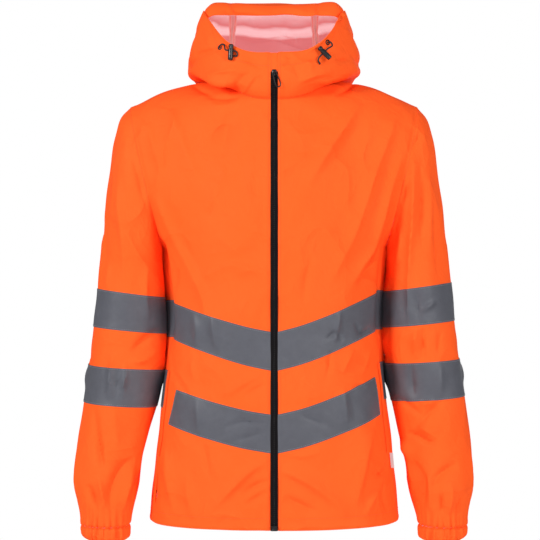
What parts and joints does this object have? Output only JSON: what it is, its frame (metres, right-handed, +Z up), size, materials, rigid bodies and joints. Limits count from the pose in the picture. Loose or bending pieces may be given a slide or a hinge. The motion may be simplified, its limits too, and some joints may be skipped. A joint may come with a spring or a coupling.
{
  "type": "hooded hi-vis work jacket",
  "caption": "Hooded waterproof work jacket in hi-vis orange with grey reflective bands, a full zip and elasticated cuffs, filled out as worn.",
  "frame": {"origin": "middle of the wearer's neck, level with the points where the shoulder seams meet the neckline", "axes": "+Z up, -Y to the wearer's front, +X to the wearer's left"},
  "size_m": [0.6548, 0.3084, 0.8884],
  "materials": {
    "shell": "satin coated polyester",
    "tape": "satin retroreflective",
    "zip_tape": "matt",
    "zip_metal": "satin",
    "fittings": "satin",
    "cord": "matt braid",
    "label": "matt"
  },
  "bodies": {
    "jacket": {"front_right": "shell", "front_left": "shell", "back": "shell", "sleeve_right": "shell", "sleeve_left": "shell", "cuff_right": "shell", "cuff_left": "shell", "hood_right": "shell", "hood_left": "shell", "hood_centre": "shell", "chin_guard": "shell", "pocket_edge_right": "shell", "pocket_edge_left": "shell", "tape_upper_right": "tape", "tape_upper_left": "tape", "tape_upper_back": "tape", "tape_lower_right": "tape", "tape_lower_left": "tape", "tape_lower_back": "tape", "tape_arm_upper_right": "tape", "tape_arm_upper_left": "tape", "tape_arm_lower_right": "tape", "tape_arm_lower_left": "tape", "side_label": "label", "zip_strip": "zip_tape", "zip_foot_box": "fittings", "zip_slider": "zip_metal", "hood_cord_right": "cord", "hood_cord_left": "cord", "cord_stop_right": "fittings", "cord_stop_left": "fittings", "cord_eyelet_right": "zip_metal", "cord_eyelet_left": "zip_metal"},
    "pull": {"zip_pull": "zip_metal"}
  },
  "joints": [
    {"name": "zip_pull_hinge", "type": "hinge", "parent": "jacket", "child": "pull", "pos_m": [0, -0.12707, 0.001], "axis": [-0.9703, 0, -0.2419], "range_deg": [0, 150]}
  ]
}
